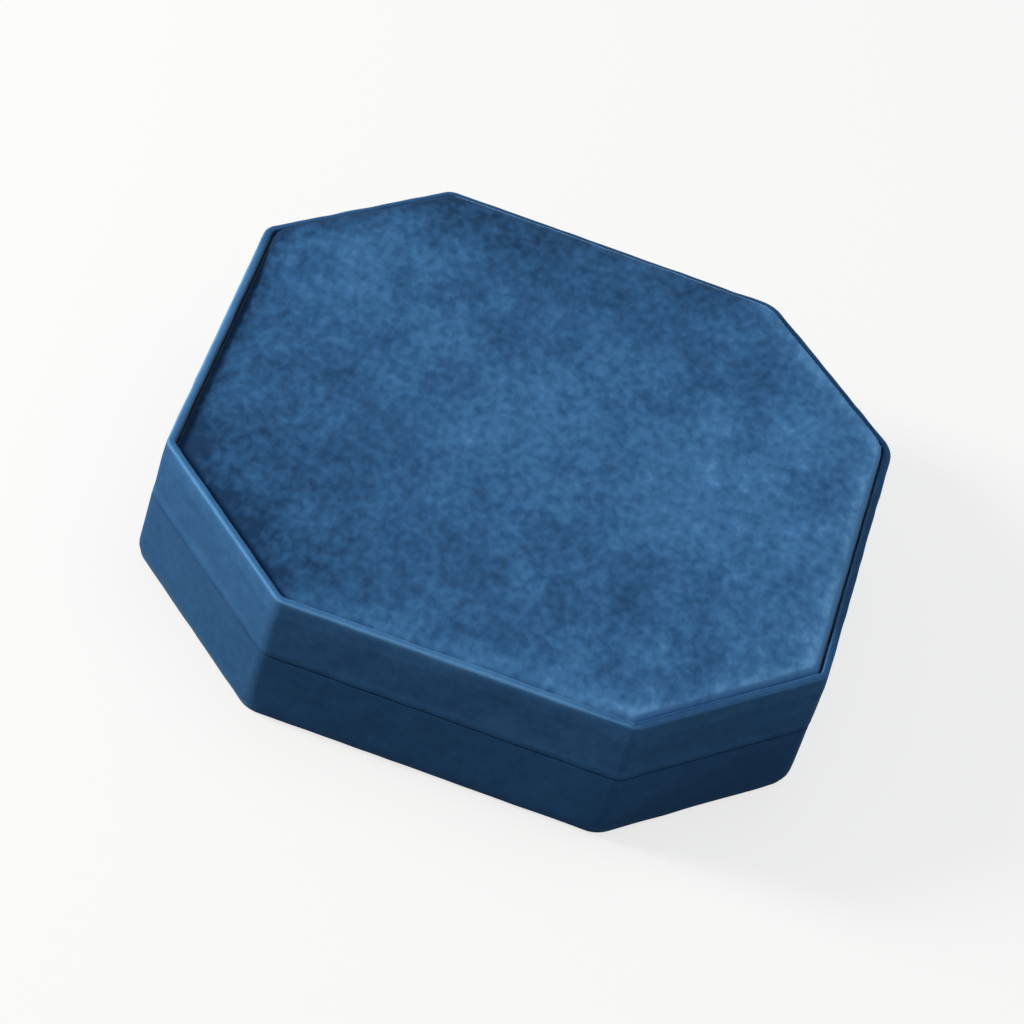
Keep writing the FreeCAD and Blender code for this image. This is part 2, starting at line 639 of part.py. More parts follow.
def make_rivets(label, height):
    """Two rivets: heads inside the box, shanks through the leaf and the wall, hidden by the velvet."""
    shank_length = f"{LEAF_IN} - {SHELL_OUT}"
    head_inset = f"({LEAF_IN} + {cell('rivet_head_height')})"
    shanks = rivet_rods(f"{label}_shank", cell("rivet_radius"), LEAF_IN, shank_length, height)
    head_height = cell("rivet_head_height")
    heads = rivet_rods(f"{label}_head", cell("rivet_head"), head_inset, head_height, height)
    rivets = fuse(label, shanks + heads)
    rivets.Label = label
    pieces.append(rivets)


def make_hinge():
    count = whole("knuckle_count")
    base_plate = f"({PARTING} - {LEAF_GAP} - {cell('leaf_sheet')})"
    base_leg = f"({PARTING} - {LEAF_GAP} - {cell('leaf_leg')})"
    lid_plate = f"({PARTING} + {LEAF_GAP})"
    make_leaf("hinge_base_leaf", base_plate, base_leg, BASE_RIVET, range(0, count, 2))
    make_leaf("hinge_lid_leaf", lid_plate, lid_plate, LID_RIVET, range(1, count, 2))
    make_hinge_pin()
    make_rivets("hinge_base_rivets", BASE_RIVET)
    make_rivets("hinge_lid_rivets", LID_RIVET)


def check_document():
    """Stops on any object that failed to compute, and on any piece that isn't a valid solid."""
    for feature in doc.Objects:
        if {"Invalid", "Error"} & set(feature.State):
            raise RuntimeError(f"{feature.Name} failed: {feature.State}")
    for piece in pieces:
        shape = piece.Shape
        if shape.isNull() or not shape.isValid() or not shape.Solids:
            raise RuntimeError(f"{piece.Label} has no valid solid")


make_base_shell()
make_base_velvet()
make_base_bottom_cover()
make_base_collar()
make_ring_tray_board()
make_ring_tray_foam()
make_ring_tray_velvet()
make_ring_rolls()
make_lid_shell()
make_lid_velvet()
make_lid_panel()
make_lid_lining()
make_hinge()
doc.recompute()
check_document()

os.makedirs("parts", exist_ok=True)
for piece in pieces:
    piece.Shape.exportStep(f"parts/{piece.Label}.step")
    solids = len(piece.Shape.Solids)
    print(f"{piece.Label}: {solids} solid(s), {piece.Shape.Volume:.1f} mm3")
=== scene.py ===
"""Looks of the octagonal ring box: velvet wraps, padded lid panel, ring tray, lining, hinge and studio."""

import json
import math

import bmesh
import bpy
from mathutils import Matrix, Vector, noise


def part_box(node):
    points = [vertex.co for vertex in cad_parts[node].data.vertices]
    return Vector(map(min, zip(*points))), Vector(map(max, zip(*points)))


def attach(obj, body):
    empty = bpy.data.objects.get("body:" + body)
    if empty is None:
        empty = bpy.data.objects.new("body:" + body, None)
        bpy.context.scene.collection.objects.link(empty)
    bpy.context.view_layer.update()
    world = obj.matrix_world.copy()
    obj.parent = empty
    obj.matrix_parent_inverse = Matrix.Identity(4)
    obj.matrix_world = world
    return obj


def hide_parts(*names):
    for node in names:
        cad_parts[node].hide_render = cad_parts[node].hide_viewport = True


MM = 0.001
SIDES = 8
STEP = math.tau / SIDES

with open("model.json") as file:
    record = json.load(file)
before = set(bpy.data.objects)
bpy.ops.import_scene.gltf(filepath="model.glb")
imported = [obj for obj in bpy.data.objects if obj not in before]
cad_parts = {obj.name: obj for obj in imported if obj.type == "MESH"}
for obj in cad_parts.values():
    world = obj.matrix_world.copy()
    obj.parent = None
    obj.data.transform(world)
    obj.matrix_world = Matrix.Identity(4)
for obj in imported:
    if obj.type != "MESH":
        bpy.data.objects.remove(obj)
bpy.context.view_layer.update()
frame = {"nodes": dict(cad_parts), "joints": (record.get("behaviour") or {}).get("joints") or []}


# ---------------------------------------------------------------- sizes read from the frame

def top_of(node):
    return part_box(node)[1].z


def low_of(node):
    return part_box(node)[0].z


OUTER_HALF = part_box("base_velvet")[1].x
CORNER_REACH = max(v.co.x + v.co.y for v in frame["nodes"]["base_velvet"].data.vertices) / math.sqrt(2)
BASE_TOP = top_of("base_velvet")
LID_LOW = low_of("lid_velvet")
LID_TOP = top_of("lid_velvet")
DECK_TOP = low_of("lid_panel_board")
HINGE = Vector(frame["joints"][0]["pos_m"])


def inset_of(node):
    """How far a node's outline lies inside the box's own."""
    return OUTER_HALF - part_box(node)[1].x


SKIN = low_of("base_shell") * 0.9        # the velvet's thickness, a little less than lies under the shell
RIM = inset_of("lid_wall_liner")         # from the outer face to the inner face of a wrapped wall
PANEL_GAP = 0.4 * MM
UPPER_RIM = inset_of("lid_panel_velvet") - PANEL_GAP     # the same for the thin rim round the panel
INNER_RADIUS = 0.6 * MM
FOOT_SPREAD = 4.5 * MM                   # extra rounding of the upright edges at the table
FOOT_HEIGHT = 8.0 * MM
# Outer rounding of the upright edges in mm. Edge 0 lies between the right side and the back right one.
WRAP_RADII = (7.0, 7.0, 4.5, 4.5, 3.0, 3.0, 3.0, 3.5)


# ---------------------------------------------------------------- mesh helpers

def octagon_loop(inset, radius_of, flat_steps=56, corner_steps=36, arc_steps=8):
    """Points round an octagon. `radius_of(corner)` rounds the corner between side `corner` and the next."""
    def corner_centre(corner):
        angle = corner * STEP
        corner %= SIDES
        reaches = [OUTER_HALF, CORNER_REACH] if corner % 2 == 0 else [CORNER_REACH, OUTER_HALF]
        here, there = (reach - inset - radius_of(corner) for reach in reaches)
        x = (here * math.sin(angle + STEP) - there * math.sin(angle)) / math.sin(STEP)
        y = (there * math.cos(angle) - here * math.cos(angle + STEP)) / math.sin(STEP)
        return Vector((x, y, 0))

    points = []
    for side in range(SIDES):
        outward = Vector((math.cos(side * STEP), math.sin(side * STEP), 0))
        start = corner_centre(side - 1) + outward * radius_of((side - 1) % SIDES)
        end = corner_centre(side) + outward * radius_of(side)
        steps = flat_steps if side % 2 == 0 else corner_steps
        points += [start.lerp(end, index / steps) for index in range(steps)]
        for index in range(arc_steps):
            angle = (side + index / arc_steps) * STEP
            turned = Vector((math.cos(angle), math.sin(angle), 0))
            points.append(corner_centre(side) + turned * radius_of(side))
    return points


def rounded_path(corners, spacing=0.8 * MM, arc_steps=6):
    """A closed outline in (inset, height), from corners given as (inset, height, rounding)."""
    path = []
    count = len(corners)
    for index, (across, up, radius) in enumerate(corners):
        here = Vector((across, up))
        before = (Vector(corners[index - 1][:2]) - here).normalized()
        after = (Vector(corners[(index + 1) % count][:2]) - here).normalized()
        turn = before.angle(after)
        cut = radius / math.tan(turn / 2)
        start, end = here + before * cut, here + after * cut
        for step in range(arc_steps + 1):
            share = step / arc_steps
            first = start.lerp(here, share)
            second = here.lerp(end, share)
            path.append(first.lerp(second, share))
        following = corners[(index + 1) % count]
        there = Vector(following[:2])
        next_after = (Vector(corners[(index + 2) % count][:2]) - there).normalized()
        next_cut = following[2] / math.tan((here - there).normalized().angle(next_after) / 2)
        goal = there + (here - there).normalized() * next_cut
        pieces = max(1, round((goal - end).length / spacing))
        path += [end.lerp(goal, step / pieces) for step in range(1, pieces)]
    return path


def new_object(name, mesh_builder):
    mesh = bpy.data.meshes.new(name)
    mesh_builder.normal_update()
    mesh_builder.to_mesh(mesh)
    mesh_builder.free()
    piece = bpy.data.objects.new(name, mesh)
    bpy.context.scene.collection.objects.link(piece)
    return piece


def shade_smooth(piece):
    piece.data.polygons.foreach_set("use_smooth", [True] * len(piece.data.polygons))


def loft(name, rings, closed):
    """Skins a list of equal rings. `closed` joins the last to the first, otherwise both ends are capped."""
    builder = bmesh.new()
    grid = [[builder.verts.new(point) for point in ring] for ring in rings]
    around = len(grid[0])
    pairs = list(zip(grid, grid[1:] + grid[:1])) if closed else list(zip(grid, grid[1:]))
    for lower, upper in pairs:
        for index in range(around):
            beside = (index + 1) % around
            builder.faces.new((lower[index], lower[beside], upper[beside], upper[index]))
    if not closed:
        builder.faces.new(list(reversed(grid[0])))
        builder.faces.new(grid[-1])
    bmesh.ops.recalc_face_normals(builder, faces=builder.faces)
    piece = new_object(name, builder)
    shade_smooth(piece)
    return piece


def octagon_band(name, corners, radius_at, **steps):
    """A profile carried round the octagon, with `radius_at(inset, height, corner)` as its plan rounding."""
    rings = []
    for inset, height in rounded_path(corners):
        loop = octagon_loop(inset, lambda corner: radius_at(inset, height, corner), **steps)
        rings.append([point + Vector((0, 0, height)) for point in loop])
    return loft(name, rings, closed=True)


def wrap_radius(inset, height, corner):
    """The upright edges' rounding, which grows toward the foot of the box."""
    foot = FOOT_SPREAD * max(0.0, 1 - height / FOOT_HEIGHT) ** 2
    return max(WRAP_RADII[corner] * MM + foot - inset, INNER_RADIUS)


def inner_radius(inset, height, corner):
    return INNER_RADIUS


def ruffle(piece, amount, size, seed, octaves=2):
    """Pushes every point along its normal by smooth noise, at most about `amount`."""
    offset = Vector((seed * 3.7, seed * 1.3, seed * 5.1))
    moved = []
    for vertex in piece.data.vertices:
        push = noise.fractal(vertex.co / size + offset, 0.6, 2.0, octaves)
        moved.append(vertex.co + vertex.normal * push * amount)
    set_points(piece, moved)


def press_flat(piece, level):
    """Presses a piece's underside flat, as the table does."""
    points = [vertex.co.copy() for vertex in piece.data.vertices]
    for point in points:
        point.z = max(point.z, level)
    set_points(piece, points)


def set_points(piece, points):
    """Moves all of a mesh's points at once."""
    piece.data.vertices.foreach_set("co", [number for point in points for number in point])
    piece.data.update()


def bake_modifiers(piece):
    """Applies every modifier by replacing the mesh with its evaluated copy."""
    bpy.context.view_layer.update()
    evaluated = piece.evaluated_get(bpy.context.evaluated_depsgraph_get())
    mesh = bpy.data.meshes.new_from_object(evaluated)
    piece.modifiers.clear()
    piece.data = mesh
    mesh.name = piece.name


def cut_box(piece, low, high):
    """Takes a box out of a closed mesh."""
    builder = bmesh.new()
    bmesh.ops.create_cube(builder, size=1)
    place = Matrix.Translation((low + high) / 2) @ Matrix.Diagonal((*(high - low), 1))
    bmesh.ops.transform(builder, matrix=place, verts=builder.verts)
    cutter = new_object("cutter", builder)
    modifier = piece.modifiers.new("cut", "BOOLEAN")
    modifier.operation = "DIFFERENCE"
    modifier.solver = "EXACT"
    modifier.object = cutter
    bake_modifiers(piece)
    bpy.data.objects.remove(cutter)


def carry(piece, body, replaced, material):
    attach(piece, body)
    if replaced:
        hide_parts(*replaced)
    piece.data.materials.clear()
    piece.data.materials.append(material)


# ---------------------------------------------------------------- materials

def new_material(name):
    material = bpy.data.materials.new(name)
    material.use_nodes = True
    tree = material.node_tree
    return material, tree, tree.nodes["Principled BSDF"]


def piece_point(tree, stretch, shift):
    """A point fixed to the piece, in metres, with its axes scaled by `stretch`."""
    coordinates = tree.nodes.new("ShaderNodeTexCoord")
    mapping = tree.nodes.new("ShaderNodeMapping")
    mapping.inputs["Scale"].default_value = stretch
    mapping.inputs["Location"].default_value = shift
    tree.links.new(coordinates.outputs["Object"], mapping.inputs["Vector"])
    return mapping.outputs["Vector"]


def add_noise(tree, scale, detail, roughness=0.5, distortion=0.0, stretch=(1, 1, 1), shift=(0, 0, 0)):
    texture = tree.nodes.new("ShaderNodeTexNoise")
    texture.inputs["Scale"].default_value = scale
    texture.inputs["Detail"].default_value = detail
    texture.inputs["Roughness"].default_value = roughness
    texture.inputs["Distortion"].default_value = distortion
    tree.links.new(piece_point(tree, stretch, shift), texture.inputs["Vector"])
    return texture.outputs["Fac"]


def calculate(tree, operation, first, second):
    node = tree.nodes.new("ShaderNodeMath")
    node.operation = operation
    for socket, value in zip(node.inputs, (first, second)):
        if isinstance(value, (int, float)):
            socket.default_value = value
        else:
            tree.links.new(value, socket)
    return node.outputs["Value"]


def weighted_sum(tree, base, terms):
    """base + the sum of weight * (signal - 0.5)."""
    total = base
    for signal, weight in terms:
        centred = calculate(tree, "SUBTRACT", signal, 0.5)
        scaled = calculate(tree, "MULTIPLY", centred, weight)
        total = calculate(tree, "ADD", scaled, total)
    return total


def add_ramp(tree, factor, stops):
    ramp = tree.nodes.new("ShaderNodeValToRGB")
    tree.links.new(factor, ramp.inputs["Fac"])
    elements = ramp.color_ramp.elements
    while len(elements) < len(stops):
        elements.new(0.5)
    for element, (position, colour) in zip(elements, stops):
        element.position = position
        element.color = (*colour, 1)
    return ramp.outputs["Color"]


def add_bump(tree, shader, height, strength, distance):
    bump = tree.nodes.new("ShaderNodeBump")
    bump.inputs["Strength"].default_value = strength
    bump.inputs["Distance"].default_value = distance
    tree.links.new(height, bump.inputs["Height"])
    tree.links.new(bump.outputs["Normal"], shader.inputs["Normal"])


def dot_with(tree, output, direction):
    """The dot product of a texture coordinate with a direction fixed to the piece."""
    coordinates = tree.nodes.new("ShaderNodeTexCoord")
    product = tree.nodes.new("ShaderNodeVectorMath")
    product.operation = "DOT_PRODUCT"
    product.inputs[1].default_value = direction
    tree.links.new(coordinates.outputs[output], product.inputs[0])
    return calculate(tree, "ADD", product.outputs["Value"], 0.5)


PILE_STRETCH = (1, 0.7, 1)
PAINTED_SHADING_ATTRIBUTE = "painted_shading"            # painted light and shade: how much lighter or darker the colour is made, at each point of a mesh


def velvet(name, shade, weights, painted_facing_light=None, fade=None, painted_edge_highlight=0.0, sheen=0.3, painted_shading=False):
    """Short-pile velvet. `weights` are for wide clouds, patches, crushed clumps 1.5 mm across and tufts.

    A facing direction lightens faces that turn its way and darkens those turned away, painted light and
    shade; `fade` lightens the piece along its direction, per metre; an edge weight gives rounded edges a
    painted highlight and downward faces painted shade; and a piece may carry painted light and shade of its
    own, stored at its points.
    """
    material, tree, shader = new_material(name)
    cloud = add_noise(tree, 26, 1.5, 0.5, 0.0, PILE_STRETCH, CLOUD_SHIFT)
    patch = add_noise(tree, 110, 1.5, 0.5, 0.2, PILE_STRETCH)
    clump = add_noise(tree, 560, 1.2, 0.5, 0.2, PILE_STRETCH)
    tuft = add_noise(tree, 2400, 1, 0.5)
    terms = list(zip((cloud, patch, clump, tuft), weights))
    # painted light and shade: faces turned toward the direction lighter, those turned away darker
    if painted_facing_light:
        terms.append((dot_with(tree, "Normal", painted_facing_light), 1.0))
    if fade:
        terms.append((dot_with(tree, "Object", fade), 1.0))
    factor = weighted_sum(tree, shade, terms)
    # painted light and shade stored at the mesh's points
    if painted_shading:
        attribute = tree.nodes.new("ShaderNodeAttribute")
        attribute.attribute_name = PAINTED_SHADING_ATTRIBUTE
        factor = calculate(tree, "ADD", factor, attribute.outputs["Fac"])
    # painted highlight on rounded edges between upright and upward faces, painted shade on faces that turn
    # down
    if painted_edge_highlight:
        upward = calculate(tree, "SUBTRACT", dot_with(tree, "Normal", (0, 0, 1)), 0.5)
        tilt = calculate(tree, "MULTIPLY", upward, calculate(tree, "SUBTRACT", 1.0, upward))
        factor = calculate(tree, "ADD", factor, calculate(tree, "MULTIPLY", tilt, painted_edge_highlight * 4))
    stops = [(0.0, DEEP_BLUE), (0.4, MID_BLUE), (0.7, LIGHT_BLUE), (1.0, PALE_BLUE)]
    tree.links.new(add_ramp(tree, factor, stops), shader.inputs["Base Color"])
    tree.links.new(weighted_sum(tree, 0.86, [(clump, -0.18)]), shader.inputs["Roughness"])
    shader.inputs["Specular IOR Level"].default_value = 0.08
    shader.inputs["Sheen Weight"].default_value = sheen
    shader.inputs["Sheen Roughness"].default_value = 0.4
    shader.inputs["Sheen Tint"].default_value = (0.32, 0.62, 1.0, 1)
    height = weighted_sum(tree, 0.5, [(clump, 1.0), (tuft, 0.5)])
    add_bump(tree, shader, height, 0.22, 0.2 * MM)
    return material


def plain(name, dark, light, scale, roughness, bump=0.2, metallic=0.0, detail=3):
    """A mottled solid colour with a fine grain, for card, foam, moulded plastic, cloth and steel."""
    material, tree, shader = new_material(name)
    grain = add_noise(tree, scale, detail, 0.6)
    patch = add_noise(tree, 90, 2)
    factor = weighted_sum(tree, 0.5, [(grain, 0.8), (patch, 0.6)])
    colour = add_ramp(tree, factor, [(0.15, dark), (0.85, light)])
    tree.links.new(colour, shader.inputs["Base Color"])
    rough = weighted_sum(tree, roughness, [(grain, 0.2)])
    tree.links.new(rough, shader.inputs["Roughness"])
    shader.inputs["Metallic"].default_value = metallic
    add_bump(tree, shader, grain, bump, 0.1 * MM)
    return material


def brushed_nickel(name):
    """Sheet steel, rolled along X and plated."""
    material, tree, shader = new_material(name)
    coordinates = tree.nodes.new("ShaderNodeTexCoord")
    stretch = tree.nodes.new("ShaderNodeMapping")
    stretch.inputs["Scale"].default_value = (120, 5000, 5000)
    tree.links.new(coordinates.outputs["Object"], stretch.inputs["Vector"])
    lines = tree.nodes.new("ShaderNodeTexNoise")
    lines.inputs["Scale"].default_value = 1
    lines.inputs["Detail"].default_value = 2
    tree.links.new(stretch.outputs["Vector"], lines.inputs["Vector"])
    tarnish = add_noise(tree, 300, 3)
    factor = weighted_sum(tree, 0.5, [(lines.outputs["Fac"], 0.6), (tarnish, 0.9)])
    colour = add_ramp(tree, factor, [(0.1, (0.33, 0.31, 0.28)), (0.9, (0.72, 0.70, 0.66))])
    tree.links.new(colour, shader.inputs["Base Color"])
    rough = weighted_sum(tree, 0.34, [(lines.outputs["Fac"], 0.25), (tarnish, 0.2)])
    tree.links.new(rough, shader.inputs["Roughness"])
    shader.inputs["Metallic"].default_value = 1.0
    add_bump(tree, shader, lines.outputs["Fac"], 0.15, 0.03 * MM)
    return material


DEEP_BLUE = (0.008, 0.036, 0.100)
MID_BLUE = (0.026, 0.104, 0.255)
LIGHT_BLUE = (0.052, 0.176, 0.395)
PALE_BLUE = (0.110, 0.300, 0.590)
CLOUD_SHIFT = (-1.755, -0.559, 0.019)    # moves the wide clouds along the piece, and so where they fall

# The panel: painted light on faces turned to the right, painted shade on those turned left, and painted
# light and shade along its edges.
panel_velvet = velvet(
    "panel_velvet", 0.455, (0.55, 0.58, 0.68, 0.1), painted_facing_light=(0.5, 0, 0), fade=(1.7, 0.27, 0), painted_shading=True
)
# The lid's wrap: a painted highlight along its rounded edges and painted light and shade on its rim.
lid_velvet = velvet("lid_wrap_velvet", 0.42, (0.25, 0.1, 0.18, 0.06), painted_edge_highlight=0.4, sheen=0.4, painted_shading=True)
# The base's wrap is the lid's velvet painted darker: painted shade on the lower part of the box.
base_velvet = velvet("base_wrap_velvet", 0.29, (0.25, 0.1, 0.18, 0.06), sheen=0.4)
tray_velvet = velvet("tray_velvet", 0.45, (0.35, 0.2, 0.5, 0.15))
lining_suede = plain("lining_suede", (0.020, 0.060, 0.140), (0.040, 0.105, 0.220), 1400, 0.8)
bare_foam = plain("bare_foam", (0.05, 0.06, 0.07), (0.16, 0.17, 0.19), 900, 0.9, bump=0.8)
grey_card = plain("grey_card", (0.30, 0.28, 0.25), (0.46, 0.43, 0.39), 500, 0.85)
moulded = plain("moulded_plastic", (0.004, 0.007, 0.014), (0.009, 0.014, 0.026), 800, 0.75)
flock_paper = plain("flock_paper", (0.006, 0.010, 0.022), (0.016, 0.026, 0.055), 2600, 0.92, bump=0.6)
nickel = brushed_nickel("brushed_nickel")


# ---------------------------------------------------------------- velvet wraps

EDGE_RADIUS = 0.85 * MM      # velvet folded over the rim on top of the lid, outside
INNER_EDGE = 0.45 * MM       # the same fold on the panel's side
SEAM_RADIUS = 0.35 * MM      # velvet folded at the parting
PILE_OVER = 0.15 * MM        # the pile stands into the seam
FOOT_RADIUS = 2.8 * MM       # the soft lower edge of the base
FOLD = 0.12 * MM             # the cut ends of the velvet
END_ROOM = 0.8 * MM          # free length beside the hinge, at each end
TABLE = 0.0                  # the height of the table top that the box stands on


def hinge_openings(piece, height_sign, rim_height):
    """Clears the leaf's slot and the barrel's recess in the middle of the back rim."""
    leaf_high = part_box("hinge_base_leaf")[1]
    half_length = leaf_high.x + END_ROOM
    clear = 0.15 * MM
    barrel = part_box("hinge_pin")[1].z - HINGE.z + 0.2 * MM + clear
    sheet = 0.7 * MM + clear
    for depth, reach in ((RIM + clear, sheet), (barrel, barrel)):
        ends = sorted((HINGE.z - height_sign * clear, HINGE.z + height_sign * reach))
        if height_sign > 0:
            ends[0] = rim_height - clear * 4
        else:
            ends[1] = rim_height + clear * 4
        low = Vector((-half_length, OUTER_HALF - depth, ends[0]))
        high = Vector((half_length, OUTER_HALF + 2 * MM, ends[1]))
        cut_box(piece, low, high)


def pile_fold(piece, height, depth, width):
    """A shallow raised line where the velvet's fold shows through beside a seam, on upright faces only."""
    moved = []
    for vertex in piece.data.vertices:
        outward = Vector((vertex.normal.x, vertex.normal.y, 0))
        upright = max(0.0, outward.length - 0.9) * 10
        bulge = math.exp(-((vertex.co.z - height) / width) ** 2)
        moved.append(vertex.co + outward * depth * bulge * upright)
    set_points(piece, moved)


def side_weight(point, side):
    """1 along the middle of one of the eight sides, falling to 0 at its corners."""
    angle = math.atan2(point.y, point.x) / STEP - side
    off = abs((angle + SIDES / 2) % SIDES - SIDES / 2)
    return max(0.0, min(1.0, (0.55 - off) * 8))


def blend_sides(point, table):
    """A table's value for a point's direction: one entry a side, from the right one anticlockwise."""
    turn = (math.atan2(point.y, point.x) / STEP) % SIDES
    side = int(turn)
    share = min(1.0, max(0.0, (turn - side - 0.3) / 0.4))
    share = share * share * (3 - 2 * share)
    return table[side % SIDES] * (1 - share) + table[(side + 1) % SIDES] * share


def store_painted_shading(piece, amount_at):
    """Stores painted light and shade: how much lighter or darker the velvet's colour is made at each point.
    """
    attribute = piece.data.attributes.new(PAINTED_SHADING_ATTRIBUTE, "FLOAT", "POINT")
    attribute.data.foreach_set("value", [amount_at(vertex.co) for vertex in piece.data.vertices])


# The lid's rim is painted lighter on the left and front, where the main light falls, and painted darker on
# the right and back, where the panel's shadow falls: painted light and shade.
RIM_PAINTED_SHADING = (-0.40, -0.30, -0.25, -0.10, 0.25, 0.14, 0.25, -0.05)


def rim_painted_shading(point):
    near_top = min(1.0, max(0.0, (point.z - LID_TOP + 2 * MM) / (1.5 * MM)))
    return near_top * blend_sides(point, RIM_PAINTED_SHADING)


FRONT_RIGHT = 7              # sides are counted from the right one, anticlockwise


def rim_fold(piece):
    """A second fold of the velvet beside the panel, on the front right side, that dies away to the right."""
    side = FRONT_RIGHT
    outward = Vector((math.cos(side * STEP), math.sin(side * STEP), 0))
    right = Vector((-outward.y, outward.x, 0))
    moved = []
    for vertex in piece.data.vertices:
        point = vertex.co
        lift = 0.0
        if point.z > LID_TOP - 1.5 * MM:
            inset = CORNER_REACH - point.dot(outward)
            fade = max(0.0, min(1.0, 0.6 - point.dot(right) / (30 * MM)))
            ridge = math.exp(-((inset - 1.35 * MM) / (0.2 * MM)) ** 2)
            lift = 0.3 * MM * ridge * fade * side_weight(point, side)
        moved.append(point + Vector((0, 0, lift)))
    set_points(piece, moved)


def make_base_wrap():
    margin = 8 * MM
    inside_low = BASE_TOP - 6 * MM
    seam = BASE_TOP + PILE_OVER
    corners = [
        (0, 0, FOOT_RADIUS), (0, seam, SEAM_RADIUS), (RIM, seam, SEAM_RADIUS),
        (RIM, inside_low, FOLD), (RIM - SKIN, inside_low, FOLD), (RIM - SKIN, BASE_TOP - SKIN, FOLD),
        (SKIN, BASE_TOP - SKIN, FOLD), (SKIN, SKIN, FOLD), (margin, SKIN, FOLD), (margin, 0, FOLD),
    ]
    piece = octagon_band("base_velvet_wrap", corners, wrap_radius)
    ruffle(piece, 0.10 * MM, 9 * MM, seed=1)
    press_flat(piece, TABLE)
    hinge_openings(piece, -1, BASE_TOP)
    carry(piece, "base", ["base_velvet"], base_velvet)


def make_lid_wrap():
    inside_top = LID_LOW + 6 * MM
    seam = LID_LOW - PILE_OVER
    under = LID_TOP - SKIN
    corners = [
        (0, seam, SEAM_RADIUS), (0, LID_TOP - 4 * MM, 2 * MM), (0.15 * MM, LID_TOP, EDGE_RADIUS),
        (UPPER_RIM, LID_TOP, INNER_EDGE),
        (UPPER_RIM, DECK_TOP, FOLD), (UPPER_RIM - SKIN, DECK_TOP, FOLD), (UPPER_RIM - SKIN, under, FOLD),
        (SKIN, under, FOLD), (SKIN, LID_LOW + SKIN, FOLD), (RIM - SKIN, LID_LOW + SKIN, FOLD),
        (RIM - SKIN, inside_top, FOLD), (RIM, inside_top, FOLD), (RIM, seam, SEAM_RADIUS),
    ]
    piece = octagon_band("lid_velvet_wrap", corners, wrap_radius)
    ruffle(piece, 0.12 * MM, 8 * MM, seed=2)
    pile_fold(piece, LID_LOW + 1.2 * MM, 0.08 * MM, 0.4 * MM)
    rim_fold(piece)
    hinge_openings(piece, 1, LID_LOW)
    store_painted_shading(piece, rim_painted_shading)
    carry(piece, "lid", ["lid_velvet"], lid_velvet)


# ---------------------------------------------------------------- padded pieces

def padded_octagon(name, inset, low, high, edge_radius, crown, crown_width, radius_at):
    """A closed pad: flat below, upright at the side, rolled at the edge and crowned over `crown_width`."""
    def ring(extra, height):
        loop = octagon_loop(inset + extra, lambda corner: radius_at(inset, height, corner) + extra * 0.3)
        return [point + Vector((0, 0, height)) for point in loop]

    side_steps, roll_steps, crown_steps = 4, 8, 10
    rings = [ring(0, low + (high - edge_radius - low) * step / side_steps) for step in range(side_steps)]
    for step in range(roll_steps + 1):
        angle = step / roll_steps * math.pi / 2
        rings.append(ring(edge_radius * (1 - math.cos(angle)), high - edge_radius * (1 - math.sin(angle))))
    for step in range(1, crown_steps + 1):
        share = step / crown_steps
        rings.append(ring(edge_radius + crown_width * share, high + crown * (1 - (1 - share) ** 2)))
    crown_ring = rings[-1]
    for shrink in (0.1, 0.25, 0.4, 0.55, 0.7, 0.85, 0.97):
        kept = 1 - shrink
        rings.append([Vector((point.x * kept, point.y * kept, point.z)) for point in crown_ring])
    return loft(name, rings, closed=False)


CLOTH_SCALE = 10.0           # a pad is simulated this many times larger
CLOTH_FRAMES = 20


def swell(piece, voxel, pressure, most, held_below):
    """Inflates a pad as cloth. The cover is glued round its board, so the outline holds: nothing below a
    height moves, and the rest only rises, by `most` at the most.
    """
    remesh = piece.modifiers.new("remesh", "REMESH")
    remesh.mode = "VOXEL"
    remesh.voxel_size = voxel
    bake_modifiers(piece)
    held = piece.vertex_groups.new(name="held")
    held.add([v.index for v in piece.data.vertices if v.co.z < held_below], 1.0, "REPLACE")
    start = [vertex.co.copy() for vertex in piece.data.vertices]
    piece.data.transform(Matrix.Scale(CLOTH_SCALE, 4))
    cloth = piece.modifiers.new("cloth", "CLOTH")
    settings = cloth.settings
    settings.use_pressure = True
    settings.uniform_pressure_force = pressure
    settings.effector_weights.gravity = 0
    settings.vertex_group_mass = "held"
    for number in range(1, CLOTH_FRAMES + 1):
        bpy.context.scene.frame_set(number)
    bake_modifiers(piece)
    bpy.context.scene.frame_set(1)
    piece.data.transform(Matrix.Scale(1 / CLOTH_SCALE, 4))
    rises = [max(0.0, vertex.co.z - origin.z) for vertex, origin in zip(piece.data.vertices, start)]
    print(piece.name, "cloth rose by up to", round(max(rises) / MM, 2), "mm")
    set_points(piece, [origin + Vector((0, 0, min(most, rise))) for origin, rise in zip(start, rises)])
    smooth = piece.modifiers.new("smooth", "SMOOTH")
    smooth.factor = 0.5
    smooth.iterations = 6
    smooth.vertex_group = "held"
    smooth.invert_vertex_group = True
    bake_modifiers(piece)
    piece.vertex_groups.clear()
    shade_smooth(piece)


def depths_inside(point):
    """How far a point lies inside each of the box's eight outer faces."""
    depths = []
    for side in range(SIDES):
        reach = OUTER_HALF if side % 2 == 0 else CORNER_REACH
        depths.append(reach - point.x * math.cos(side * STEP) - point.y * math.sin(side * STEP))
    return depths


# For each side, from the right one anticlockwise, in mm: how far the panel's edge is lifted, how far it
# bulges over the rim, and how far in from the edge light and shade are painted. Then how much lighter it is
# painted there: painted light on the right and front, painted shade on the left and back.
EDGE_LIFT = (1.9, 2.0, 1.9, 1.7, -0.6, -0.6, 0.5, 1.2)
EDGE_BULGE = (0.1, 1.0, 1.2, 1.2, 0.0, 0.0, 0.0, 0.5)
PAINTED_SHADING_WIDTH = (6, 7, 16, 8, 8, 12, 9, 7)
PANEL_PAINTED_SHADING = (0.50, 0.45, -0.26, -0.24, -0.19, -0.24, 0.36, 0.45)


